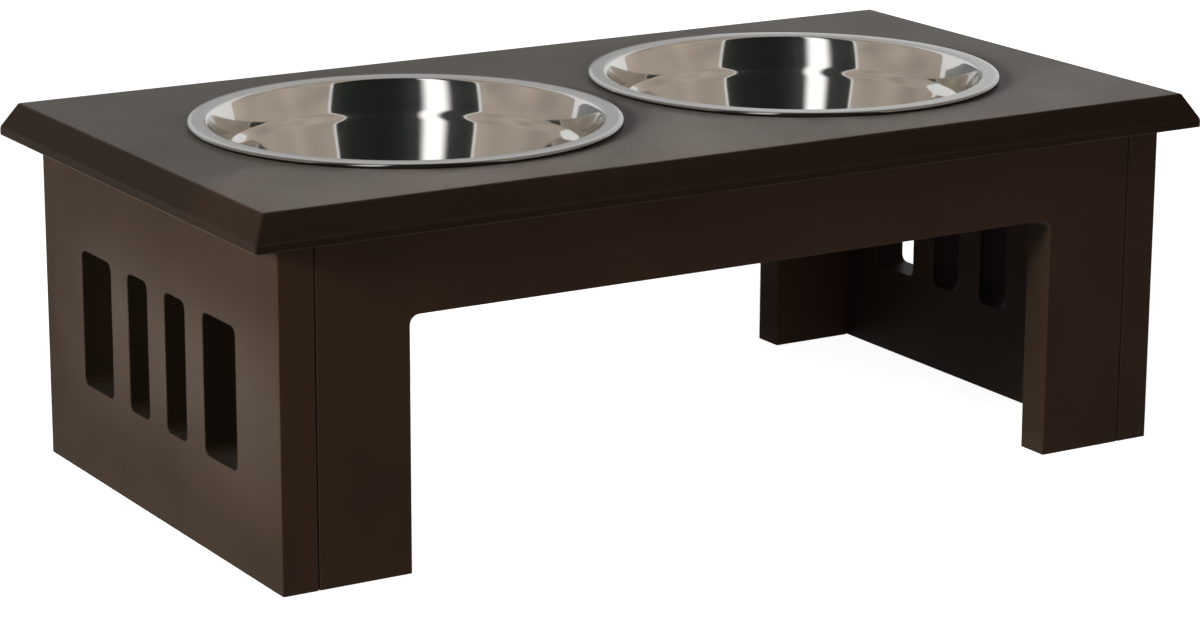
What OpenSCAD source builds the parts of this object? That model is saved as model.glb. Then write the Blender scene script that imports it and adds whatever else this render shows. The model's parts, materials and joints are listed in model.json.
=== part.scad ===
// Raised pet feeder: a flat-pack stand of painted boards that carries two lift-out bowls.
// X runs along the stand, Y towards its rear and Z up, in millimetres.
// The origin is on the floor, under the middle of the stand.

/* [Bowls] */
// Inside diameter of a bowl's mouth
mouth_d = 159; // [140:1:180]
// Width of the flange round the mouth
flange_w = 8.5; // [7.5:0.5:12]
// Depth of a bowl, from its flange to the underside of its floor
bowl_depth = 47; // [40:1:60]
// Depth of the upper wall, from the flange to the step
step_depth = 14; // [10:0.5:18]
// Lean of the upper wall at the mouth, in degrees
mouth_lean = 25; // [15:1:35]
// Lean of the upper wall at the step, in degrees
step_lean = 11; // [8:1:20]
// How far the step runs in
step_in = 1.6; // [1:0.1:3]
// Height of the step
step_h = 1.8; // [1:0.1:4]
// How far the lower wall and its curve run in to the flat floor
floor_in = 22; // [18:0.5:40]
// Radius of the curve between the lower wall and the floor
floor_round = 16; // [10:0.5:18]
// Radius of the turn from the flange into the wall
mouth_round = 2; // [1.5:0.1:3]
// Thickness of the steel sheet
sheet_t = 0.8; // [0.6:0.1:1.2]
// Diameter of the curled rim
curl_d = 2.2; // [1.6:0.1:3]

/* [Top board] */
// Gap between the two rims
rim_gap = 12; // [6:0.5:40]
// Distance from a rim to the end of the top board
end_margin = 38; // [34:0.5:80]
// Distance from a rim to the front and rear edges of the top board
front_margin = 31; // [28:0.5:60]
// Thickness of the top board
top_t = 14; // [12:0.5:20]
// Height of the upright lip under the bevel
lip_h = 3.6; // [2:0.1:6]
// How far the bevel runs in from the edge
bevel_in = 6; // [3:0.5:10]

/* [Stand] */
// Height of the top board's upper face above the floor
stand_h = 150; // [130:1:300]
// Overhang of the top board past the side panels
end_overhang = 14; // [6:0.5:18]
// Overhang of the top board past the frames
frame_overhang = 11; // [6:0.5:14]
// Thickness of the side panels and frames
board_t = 15; // [13:0.5:18]
// Width of a frame's legs
leg_w = 40; // [34:1:60]
// Height of the apron that joins a frame's legs
apron_h = 34; // [26:1:50]
// Radius of the corners under the apron
arch_r = 4; // [2:0.5:10]

/* [Slots] */
// Height of the rail under a side panel's slots
low_rail = 39; // [25:1:45]
// Height of the rail over the slots
high_rail = 40; // [36:1:60]
// Width of the stiles at the front and rear of a side panel
stile_w = 37; // [32:0.5:45]
// Width of the two inner slots
slot_narrow = 18.5; // [12:0.5:22]
// Width of the bars between the slots
bar_w = 16; // [12:0.5:18]
// Corner radius of the slots
slot_r = 3.5; // [2:0.5:5]

/* [Dowels] */
// Diameter of the dowels
dowel_d = 8; // [6:0.5:9]
// Length of dowel in the edge of a board
dowel_edge = 20; // [14:1:24]
// Wood left past a dowel or a bolt in the face of a board
face_skin = 4; // [2.5:0.5:6]
// Chamfer on the ends of the dowels and bolts
end_chamfer = 1; // [0.5:0.1:1.5]
// Distance from the ends of a leg to its dowels
leg_dowel_in = 26; // [20:1:40]
// Distance from the ends of a frame to the dowels in its apron
apron_dowel_in = 91; // [60:1:140]

/* [Cam fittings] */
// Diameter of the holes for the cam nuts
cam_d = 15; // [13:0.5:16]
// Wood left behind a cam nut
cam_skin = 2.5; // [1.5:0.5:3]
// Distance from the end of a board to the middle of its cam nut
cam_reach = 24; // [20:1:26]
// Wall of a cam nut's drum
cam_wall = 2.2; // [1.5:0.1:2.4]
// Thread diameter of the cam bolts
thread_d = 6; // [5:0.5:7]
// Shank diameter of the cam bolts
shank_d = 5; // [4.5:0.5:6]
// Neck diameter of the cam bolts
neck_d = 3.5; // [3:0.1:4]
// Head diameter of the cam bolts
head_d = 6.5; // [6:0.5:7]
// Length of the head of the cam bolts
head_l = 3; // [2:0.5:3.5]
// Width of the screwdriver cross in a cam nut
cross_w = 1.4; // [1:0.1:2]
// Length of the cross, tip to tip
cross_l = 9; // [6:0.5:10]
// Depth of the cross
cross_depth = 1.6; // [1:0.1:2]

/* [Clearances] */
// Gap between a resting rim and the top board
seat_gap = 0.2; // [0.1:0.05:0.4]
// Room round a bowl in its cut-out
bowl_clear = 1.5; // [1:0.1:2]
// Room round a dowel, a thread and a cam nut
fit_gap = 0.1; // [0.05:0.05:0.2]
// Room past the end of a dowel, a bolt and a cam nut
end_gap = 0.5; // [0.3:0.1:1]
// Room round a bolt's head on its way in
head_clear = 0.75; // [0.5:0.05:1]

/* [Hidden] */
$fn = 96;

// Overrun of a cutter past the face that it opens
overrun = 1;
// Steps along the turn, the wall, the step and the lower curve of a bowl
turn_steps = 6;
wall_steps = 10;
step_steps = 8;
curve_steps = 12;

// Bowls: heights are over the top board's upper face
rim_r = mouth_d / 2 + flange_w;
curl_r = curl_d / 2;
bowl_x = rim_r + rim_gap / 2;
rim_top = seat_gap + curl_d;
flange_z = rim_top - sheet_t / 2;
floor_z = rim_top - bowl_depth + sheet_t / 2;
wall_r = mouth_d / 2 + sheet_t / 2;
cutout_r = mouth_d / 2 + sheet_t + bowl_clear;

// Boards: the top board is as large as the bowls and their margins ask
top_len = 2 * (bowl_x + rim_r + end_margin);
top_depth = 2 * (rim_r + front_margin);
base_len = top_len - 2 * end_overhang;
base_depth = top_depth - 2 * frame_overhang;
panel_h = stand_h - top_t;
panel_x = base_len / 2 - board_t / 2;
frame_y = base_depth / 2 - board_t / 2;
frame_len = base_len - 2 * board_t;
arch_w = frame_len - 2 * leg_w;
arch_h = panel_h - apron_h;

// Slots, from the middle of a panel outwards: half a bar, narrow slot, bar, wide slot, stile
slot_h = panel_h - low_rail - high_rail;
slot_z = low_rail + slot_h / 2;
slot_wide = base_depth / 2 - stile_w - 1.5 * bar_w - slot_narrow;
narrow_y = bar_w / 2 + slot_narrow / 2;
wide_y = 1.5 * bar_w + slot_narrow + slot_wide / 2;

// Joints: a cam nut sits over a bar, and a dowel over what a stile shows past the frame
cam_y = bar_w + slot_narrow;
stile_y = base_depth / 2 - board_t / 2 - stile_w / 2;
apron_dowel_x = frame_len / 2 - apron_dowel_in;
leg_dowels_z = [leg_dowel_in, panel_h - leg_dowel_in];
leg_cam_z = panel_h / 2;
top_face_l = top_t - face_skin;
panel_face_l = board_t - face_skin;

// Cam nuts: a drum from the board's open face to just short of the bottom of its hole
cam_hole_depth = board_t - cam_skin;
cam_r = cam_d / 2 - fit_gap;
cam_l = cam_hole_depth - end_gap;
hollow_d = head_d + 2 * head_clear;
neck_slot = neck_d + 2 * end_gap;
neck_slot_turn = 210;

BOARD_COLOUR = "#33261f";
STEEL_COLOUR = "#c9c8c4";
DOWEL_COLOUR = "#d8b98a";
FITTING_COLOUR = "#a9abae";

// Outlines

// Points of an arc about c, from angle a0 to a1 in n steps
function arc(c, r, a0, a1, n) =
  [for (i = [0:n]) let (a = a0 + (a1 - a0) * i / n) c + r * [cos(a), sin(a)]];

// Point at share t of a smooth curve from a to b, with the directions u at a and v at b
function bend(a, u, b, v, t) =
  (2 * t^3 - 3 * t^2 + 1) * a + (t^3 - 2 * t^2 + t) * u + (3 * t^2 - 2 * t^3) * b + (t^3 - t^2) * v;

// Middle line of a bowl's sheet as [radius, height], from the rim to the axis: the flange, the turn
// into the mouth, the upper wall that grows steeper, the step, the straight lower wall, its curve
// and the floor
function bowl_line() =
  let (
    turn = [wall_r + mouth_round * cos(mouth_lean), flange_z - mouth_round],
    mouth = turn + mouth_round * [-cos(mouth_lean), sin(mouth_lean)],
    wall_h = step_depth - (flange_z - mouth[1]),
    slopes = [tan(mouth_lean), tan(step_lean)],
    upper = mouth - wall_h * [(slopes[0] + slopes[1]) / 2, 1],
    lower = upper - [step_in, step_h],
    curve = [lower[0] - floor_in, floor_z + floor_round],
    rise = lower - curve,
    touch = atan2(rise[1], rise[0]) - acos(floor_round / norm(rise)),
    upper_run = step_h * [-slopes[1], -1],
    lower_run = step_h / cos(touch) * [sin(touch), -cos(touch)]
  )
  concat(
    [[rim_r - curl_r, flange_z]],
    arc(turn, mouth_round, 90, 180 - mouth_lean, turn_steps),
    [for (i = [1:wall_steps - 1]) let (t = i / wall_steps)
      mouth - wall_h * t * [slopes[0] + (slopes[1] - slopes[0]) * t / 2, 1]],
    [for (i = [0:step_steps]) bend(upper, upper_run, lower, lower_run, i / step_steps)],
    arc(curve, floor_round, touch, -90, curve_steps),
    [[0, floor_z]]
  );

// Direction of line p at point i
function heading(p, i) =
  let (v = p[min(i + 1, len(p) - 1)] - p[max(i - 1, 0)]) v / norm(v);

// Line p moved sideways by d, and line p from its end to its start
function beside(p, d) =
  [for (i = [0:len(p) - 1]) let (h = heading(p, i)) [max(0, p[i][0] - d * h[1]), p[i][1] + d * h[0]]];
function backwards(p) = [for (i = [len(p) - 1:-1:0]) p[i]];

// Rectangle about the origin with round corners
module rounded_rect(w, h, r) {
  square([w - 2 * r, h], center = true);
  square([w, h - 2 * r], center = true);
  for (x = [-1, 1], y = [-1, 1])
    translate([x * (w / 2 - r), y * (h / 2 - r)]) circle(r);
}

// Section of the top board across a width w: an upright lip with a bevel over it
module edge_section(w) {
  polygon([
    [-w / 2, 0], [w / 2, 0], [w / 2, lip_h], [w / 2 - bevel_in, top_t],
    [-w / 2 + bevel_in, top_t], [-w / 2, lip_h]
  ]);
}

// Fittings, drawn at a joint: Z points into the face of one board, -Z into the edge of the other,
// and X out of that other board's open side

module dowel(face_l) {
  r = dowel_d / 2;
  tip_r = r - end_chamfer;
  rotate_extrude()
    polygon([
      [0, -dowel_edge], [tip_r, -dowel_edge], [r, -dowel_edge + end_chamfer],
      [r, face_l - end_chamfer], [tip_r, face_l], [0, face_l]
    ]);
}

module dowel_hole(face_l) {
  translate([0, 0, -dowel_edge - end_gap])
    cylinder(d = dowel_d + 2 * fit_gap, h = dowel_edge + face_l + 2 * end_gap);
}

// Thread, shank, neck and head: the neck runs from just outside the cam nut to the head inside it
module cam_bolt(thread_l) {
  head_end = -cam_reach - end_gap;
  neck_end = head_end + head_l;
  shank_end = -cam_reach + cam_d / 2;
  rotate_extrude()
    polygon([
      [0, head_end], [head_d / 2, head_end], [head_d / 2, neck_end],
      [neck_d / 2, neck_end], [neck_d / 2, shank_end],
      [shank_d / 2, shank_end], [shank_d / 2, 0], [thread_d / 2, 0],
      [thread_d / 2, thread_l - end_chamfer], [thread_d / 2 - end_chamfer, thread_l], [0, thread_l]
    ]);
}

module bolt_hole_in_face(thread_l) {
  translate([0, 0, -overrun])
    cylinder(d = thread_d + 2 * fit_gap, h = thread_l + end_gap + overrun);
}

module bolt_hole_in_edge() {
  translate([0, 0, -cam_reach]) cylinder(d = hollow_d, h = cam_reach + overrun);
}

module cam_hole() {
  translate([board_t / 2 - cam_hole_depth, 0, -cam_reach])
    rotate([0, 90, 0]) cylinder(d = cam_d, h = cam_hole_depth + overrun);
}

// Drum with a hollow and a way in for the bolt's head, a slot that winds onto the bolt's neck,
// and a cross to turn it by
module cam_nut() {
  translate([0, 0, -cam_reach]) rotate([0, 90, 0]) difference() {
    translate([0, 0, board_t / 2 - cam_l]) cylinder(r = cam_r, h = cam_l);
    cylinder(r = cam_r - cam_wall, h = hollow_d, center = true);
    rotate([0, 90, 0]) cylinder(d = hollow_d, h = cam_d);
    rotate([0, 0, -neck_slot_turn]) rotate_extrude(angle = neck_slot_turn)
      translate([cam_r / 2, -neck_slot / 2]) square([cam_r, neck_slot]);
    for (turn = [0, 90])
      rotate([0, 0, turn]) translate([-cross_l / 2, -cross_w / 2, board_t / 2 - cross_depth])
        cube([cross_l, cross_w, cross_depth + overrun]);
  }
}

// Places of the joints

// Joint of the top board with the left (-1) or right (1) side panel
module at_panel_top(side, y) {
  translate([side * panel_x, y, panel_h]) rotate([0, 0, side > 0 ? 180 : 0]) children();
}

// Joint of the top board with the front (-1) or rear (1) frame
module at_apron_top(end, x) {
  translate([x, end * frame_y, panel_h]) children();
}

// Joint of a side panel with a leg of the front or rear frame
module at_leg(side, end, z) {
  translate([side * frame_len / 2, end * frame_y, z])
    rotate([0, 90 * side, 0]) rotate([0, 0, -90 * end]) children();
}

// Boards

module top_board() {
  color(BOARD_COLOUR) difference() {
    translate([0, 0, panel_h]) difference() {
      intersection() {
        rotate([90, 0, 0]) linear_extrude(top_depth, center = true) edge_section(top_len);
        rotate([90, 0, 90]) linear_extrude(top_len, center = true) edge_section(top_depth);
      }
      for (side = [-1, 1])
        translate([side * bowl_x, 0, -overrun]) cylinder(r = cutout_r, h = top_t + 2 * overrun);
    }
    for (side = [-1, 1], y = [-1, 1]) {
      at_panel_top(side, y * cam_y) bolt_hole_in_face(top_face_l);
      at_panel_top(side, y * stile_y) dowel_hole(top_face_l);
    }
    for (end = [-1, 1], x = [-1, 1])
      at_apron_top(end, x * apron_dowel_x) dowel_hole(top_face_l);
  }
}

module side_panel(side) {
  color(BOARD_COLOUR) difference() {
    translate([side * panel_x, 0, 0]) rotate([90, 0, 90])
      linear_extrude(board_t, center = true) difference() {
        translate([-base_depth / 2, 0]) square([base_depth, panel_h]);
        for (y = [-1, 1]) {
          translate([y * narrow_y, slot_z]) rounded_rect(slot_narrow, slot_h, slot_r);
          translate([y * wide_y, slot_z]) rounded_rect(slot_wide, slot_h, slot_r);
        }
      }
    for (y = [-1, 1]) {
      at_panel_top(side, y * stile_y) dowel_hole(top_face_l);
      at_panel_top(side, y * cam_y) {
        bolt_hole_in_edge();
        cam_hole();
      }
    }
    for (end = [-1, 1]) {
      at_leg(side, end, leg_cam_z) bolt_hole_in_face(panel_face_l);
      for (z = leg_dowels_z) at_leg(side, end, z) dowel_hole(panel_face_l);
    }
  }
}

module left_side_panel() { side_panel(-1); }
module right_side_panel() { side_panel(1); }

// One board, sawn out under its apron to leave two legs
module frame(end) {
  color(BOARD_COLOUR) difference() {
    translate([0, end * frame_y, 0]) rotate([90, 0, 0])
      linear_extrude(board_t, center = true) difference() {
        translate([-frame_len / 2, 0]) square([frame_len, panel_h]);
        translate([0, arch_h / 2]) rounded_rect(arch_w, arch_h, arch_r);
        translate([-arch_w / 2, -overrun]) square([arch_w, arch_h / 2 + overrun]);
      }
    for (side = [-1, 1]) {
      for (z = leg_dowels_z) at_leg(side, end, z) dowel_hole(panel_face_l);
      at_apron_top(end, side * apron_dowel_x) dowel_hole(top_face_l);
      at_leg(side, end, leg_cam_z) {
        bolt_hole_in_edge();
        cam_hole();
      }
    }
  }
}

module front_frame() { frame(-1); }
module rear_frame() { frame(1); }

// Bowls

module bowl(side) {
  line = bowl_line();
  color(STEEL_COLOUR) translate([side * bowl_x, 0, stand_h]) rotate_extrude() {
    polygon(concat(beside(line, -sheet_t / 2), backwards(beside(line, sheet_t / 2))));
    translate([rim_r - curl_r, seat_gap + curl_r]) circle(curl_r);
  }
}

module left_bowl() { bowl(-1); }
module right_bowl() { bowl(1); }

// Cam fittings

module top_cam_bolts(side) {
  color(FITTING_COLOUR) for (y = [-1, 1]) at_panel_top(side, y * cam_y) cam_bolt(top_face_l);
}

module top_cam_nuts(side) {
  color(FITTING_COLOUR) for (y = [-1, 1]) at_panel_top(side, y * cam_y) cam_nut();
}

module leg_cam_bolt(side, end) {
  color(FITTING_COLOUR) at_leg(side, end, leg_cam_z) cam_bolt(panel_face_l);
}

module leg_cam_nut(side, end) {
  color(FITTING_COLOUR) at_leg(side, end, leg_cam_z) cam_nut();
}

module left_top_cam_bolts() { top_cam_bolts(-1); }
module right_top_cam_bolts() { top_cam_bolts(1); }
module left_top_cam_nuts() { top_cam_nuts(-1); }
module right_top_cam_nuts() { top_cam_nuts(1); }
module front_left_cam_bolt() { leg_cam_bolt(-1, -1); }
module front_right_cam_bolt() { leg_cam_bolt(1, -1); }
module rear_left_cam_bolt() { leg_cam_bolt(-1, 1); }
module rear_right_cam_bolt() { leg_cam_bolt(1, 1); }
module front_left_cam_nut() { leg_cam_nut(-1, -1); }
module front_right_cam_nut() { leg_cam_nut(1, -1); }
module rear_left_cam_nut() { leg_cam_nut(-1, 1); }
module rear_right_cam_nut() { leg_cam_nut(1, 1); }

// Dowels

module top_dowels(side) {
  color(DOWEL_COLOUR) for (y = [-1, 1]) at_panel_top(side, y * stile_y) dowel(top_face_l);
}

module apron_dowels(end) {
  color(DOWEL_COLOUR) for (x = [-1, 1]) at_apron_top(end, x * apron_dowel_x) dowel(top_face_l);
}

module leg_dowels(side, end) {
  color(DOWEL_COLOUR) for (z = leg_dowels_z) at_leg(side, end, z) dowel(panel_face_l);
}

module left_top_dowels() { top_dowels(-1); }
module right_top_dowels() { top_dowels(1); }
module front_apron_dowels() { apron_dowels(-1); }
module rear_apron_dowels() { apron_dowels(1); }
module front_left_leg_dowels() { leg_dowels(-1, -1); }
module front_right_leg_dowels() { leg_dowels(1, -1); }
module rear_left_leg_dowels() { leg_dowels(-1, 1); }
module rear_right_leg_dowels() { leg_dowels(1, 1); }

top_board();
left_side_panel();
right_side_panel();
front_frame();
rear_frame();
left_bowl();
right_bowl();
left_top_cam_bolts();
right_top_cam_bolts();
left_top_cam_nuts();
right_top_cam_nuts();
left_top_dowels();
right_top_dowels();
front_apron_dowels();
rear_apron_dowels();
front_left_cam_bolt();
front_right_cam_bolt();
rear_left_cam_bolt();
rear_right_cam_bolt();
front_left_cam_nut();
front_right_cam_nut();
rear_left_cam_nut();
rear_right_cam_nut();
front_left_leg_dowels();
front_right_leg_dowels();
rear_left_leg_dowels();
rear_right_leg_dowels();
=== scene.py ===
"""Dresses the pet feeder: painted boards, polished bowls, their fittings and a white studio."""

import json
import logging
import math
from collections.abc import Iterable
from dataclasses import dataclass, field
from enum import Enum
from typing import Any

import bmesh
import bpy
from mathutils import Matrix, Vector
from mathutils.geometry import interpolate_bezier


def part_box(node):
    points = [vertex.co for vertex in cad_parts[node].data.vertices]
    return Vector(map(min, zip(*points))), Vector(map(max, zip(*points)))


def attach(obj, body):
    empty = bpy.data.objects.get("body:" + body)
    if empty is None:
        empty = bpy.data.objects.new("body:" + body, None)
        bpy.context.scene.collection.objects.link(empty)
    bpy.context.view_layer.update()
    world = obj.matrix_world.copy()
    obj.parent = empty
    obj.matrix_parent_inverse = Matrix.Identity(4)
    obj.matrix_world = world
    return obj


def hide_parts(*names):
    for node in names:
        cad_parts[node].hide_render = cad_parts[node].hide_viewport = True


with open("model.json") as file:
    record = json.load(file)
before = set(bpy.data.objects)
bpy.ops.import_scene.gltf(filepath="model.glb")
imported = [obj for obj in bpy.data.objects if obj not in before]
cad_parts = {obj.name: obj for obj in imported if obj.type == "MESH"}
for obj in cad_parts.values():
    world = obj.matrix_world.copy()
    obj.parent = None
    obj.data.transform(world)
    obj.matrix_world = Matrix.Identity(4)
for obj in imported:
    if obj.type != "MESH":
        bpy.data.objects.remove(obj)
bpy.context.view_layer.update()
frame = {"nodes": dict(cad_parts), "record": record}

# Short names for the types that the signatures use
Face = bmesh.types.BMFace
Mesh = bmesh.types.BMesh
Piece = bpy.types.Object
Socket = bpy.types.NodeSocket
Tree = bpy.types.NodeTree

MM = 0.001
WHITE = "#ffffff"
# Points closer than SAME are one point, and a point closer than CLOSE to a line lies on it
SAME = 0.001 * MM
CLOSE = 0.01 * MM
# Decimal places of a metre that tell one saw line from the next
PLACES = 6
# Room that is left round a cell before a circle is drawn in it
CELL_INSET = 0.1 * MM
# Face attribute of a board's softened arrises, their facets, and the faint share of the painted
# highlight and thinner paint on an arris above the highlight's height
ARRIS = "arris"
ARRIS_STEPS = 3
FAINT_HIGHLIGHT_AND_THIN_PAINT = 0.2
# Of 1 to 100: the large faces of a board settle its shading alone
LARGE_FACES = 100
# Settings that nodes share, and the values between which nearly all of a noise lies
SMOOTH = {"interpolation_type": "SMOOTHSTEP"}
COLOURS = {"data_type": "RGBA"}
NOISE_SPAN: dict[str | int, Any] = {1: 0.3, 2: 0.7}
log = logging.getLogger("feeder")


class Side(Enum):
    """The two ends of the stand, by the sign of X."""

    LEFT = -1
    RIGHT = 1


class End(Enum):
    """The front and the rear of the stand, by the sign of Y."""

    FRONT = -1
    REAR = 1


class Grain(Enum):
    """Which way a dowel lies, by the index of its axis."""

    LENGTHWISE = 0
    UPRIGHT = 2


def linear(code: str) -> tuple[float, float, float, float]:
    """Turns an sRGB colour into what the shaders take.

    Args:
        code: The colour as "#rrggbb".

    Returns:
        Its linear red, green and blue, and an alpha of 1.
    """
    shares = [int(code[i : i + 2], 16) / 255 for i in (1, 3, 5)]
    # The sRGB curve is straight near black and a power above that
    red, green, blue = (s / 12.92 if s <= 0.04045 else ((s + 0.055) / 1.055) ** 2.4 for s in shares)
    return red, green, blue, 1.0


def add_node(
    tree: Tree, kind: str, inputs: dict[str | int, Any] | None = None, **settings: Any
) -> bpy.types.NodeOutputs:
    """Adds a shader node with its settings and links.

    Args:
        tree: The node tree that takes it.
        kind: The node's type, without the "ShaderNode" that it starts with.
        inputs: A value or another node's output for each input, by name or index.
        settings: Properties of the node.

    Returns:
        The new node's outputs.
    """
    node = tree.nodes.new("ShaderNode" + kind)
    for name, value in settings.items():
        setattr(node, name, value)
    for key, value in (inputs or {}).items():
        if isinstance(value, Socket):
            tree.links.new(value, node.inputs[key])
        else:
            node.inputs[key].default_value = value
    return node.outputs


@dataclass(frozen=True)
class Finish:
    """A finish, which becomes one material however many pieces wear it."""

    name: str

    def material(self) -> bpy.types.Material:
        """Makes the material the first time a piece asks for it.

        Returns:
            The finish as a material.
        """
        made = bpy.data.materials.get(self.name)
        if made is None:
            made = bpy.data.materials.new(self.name)
            made.use_nodes = True
            made.node_tree.nodes.clear()
            shader = self.shader(made.node_tree)
            add_node(made.node_tree, "OutputMaterial", {"Surface": shader})
        return made

    def shader(self, tree: Tree) -> Socket:
        """Draws the finish in a node tree and returns its shader."""
        raise NotImplementedError


@dataclass(frozen=True)
class SatinPaint(Finish):
    """Sprayed satin paint on fibreboard."""

    # To the eye: an almost black brown, even from afar, with the faint pebbling of sprayed paint,
    # a pale bloom that only shows at a low angle, and a paler line on each arris, strongest on the
    # top board's lower arrises: a painted highlight, and thinner paint there
    name: str = "satin_paint_on_fibreboard"
    brown: str = "#39281f"
    deep_brown: str = "#35251d"
    highlight_and_thin_brown: str = "#4b382e"
    specular: float = 0.03
    roughness: float = 0.45
    # How far the roughness rises and falls with the clouds
    unevenness: float = 0.03
    bloom: float = 0.15
    bloom_spread: float = 0.3
    bloom_tint: str = "#fff4f1"
    cloud: float = 45 * MM
    pebble: float = 1.3 * MM
    pebble_height: float = 0.02 * MM

    def coat(self, tree: Tree, place: Socket, clouds: Socket) -> Socket:
        """Draws the paint's colour away from the arrises.

        Args:
            tree: The material's node tree.
            place: The Object coordinates.
            clouds: A soft noise.

        Returns:
            The colour.
        """
        share = add_node(tree, "MapRange", {0: clouds, **NOISE_SPAN}, **SMOOTH)[0]
        tones = {6: linear(self.deep_brown), 7: linear(self.brown)}
        return add_node(tree, "Mix", {0: share, **tones}, **COLOURS)[2]

    def shader(self, tree: Tree) -> Socket:
        """Draws the paint.

        Args:
            tree: The material's node tree.

        Returns:
            The paint's shader.
        """
        place = add_node(tree, "TexCoord")["Object"]
        clouds, pebbles = (
            add_node(tree, "TexNoise", {"Vector": place, "Scale": 1 / size, "Detail": detail})[0]
            for size, detail in ((self.cloud, 3.0), (self.pebble, 1.0))
        )
        coat = self.coat(tree, place, clouds)
        arris = add_node(tree, "Attribute", attribute_name=ARRIS)["Fac"]
        # The paler arris colour is a painted highlight, with thinner paint
        highlight_and_thin = add_node(tree, "Math", {0: arris, 1: clouds}, operation="MULTIPLY")[0]
        colour = add_node(tree, "Mix", {0: highlight_and_thin, 6: coat, 7: linear(self.highlight_and_thin_brown)}, **COLOURS)[2]
        span = {3: self.roughness + self.unevenness, 4: self.roughness - self.unevenness}
        rough = add_node(tree, "MapRange", {0: clouds, **NOISE_SPAN, **span})[0]
        relief = add_node(tree, "Bump", {"Distance": self.pebble_height, "Height": pebbles})[0]
        return add_node(
            tree,
            "BsdfPrincipled",
            {
                "Base Color": colour,
                "Roughness": rough,
                "Specular IOR Level": self.specular,
                "Sheen Weight": self.bloom,
                "Sheen Roughness": self.bloom_spread,
                "Sheen Tint": linear(self.bloom_tint),
                "Normal": relief,
            },
        )[0]


@dataclass(frozen=True)
class SoakedPaint(SatinPaint):
    """The same paint on an edge that a router cut."""

    # To the eye: a darker tone with the cutter's faint lines, where the cut fibres soaked the
    # paint up, and hardly any bloom
    name: str = "satin_paint_on_routed_edge"
    soaked_brown: str = "#261b14"
    lined_brown: str = "#211610"
    bloom: float = 0.0225
    # Spacing and length of the cutter's lines
    cutter_line: float = 0.9 * MM
    cutter_run: float = 240 * MM

    def coat(self, tree: Tree, place: Socket, clouds: Socket) -> Socket:
        """Draws the colour of the soaked paint.

        Args:
            tree: The material's node tree.
            place: The Object coordinates.
            clouds: A soft noise, which doesn't show here.

        Returns:
            The colour.
        """
        spacing = (1 / self.cutter_run, 1 / self.cutter_run, 1 / self.cutter_line)
        run = add_node(tree, "Mapping", {"Vector": place, "Scale": spacing})[0]
        lines = add_node(tree, "TexNoise", {"Vector": run, "Scale": 1.0, "Detail": 2.0})[0]
        tones = {6: linear(self.lined_brown), 7: linear(self.soaked_brown)}
        return add_node(tree, "Mix", {0: lines, **tones}, **COLOURS)[2]


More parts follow.
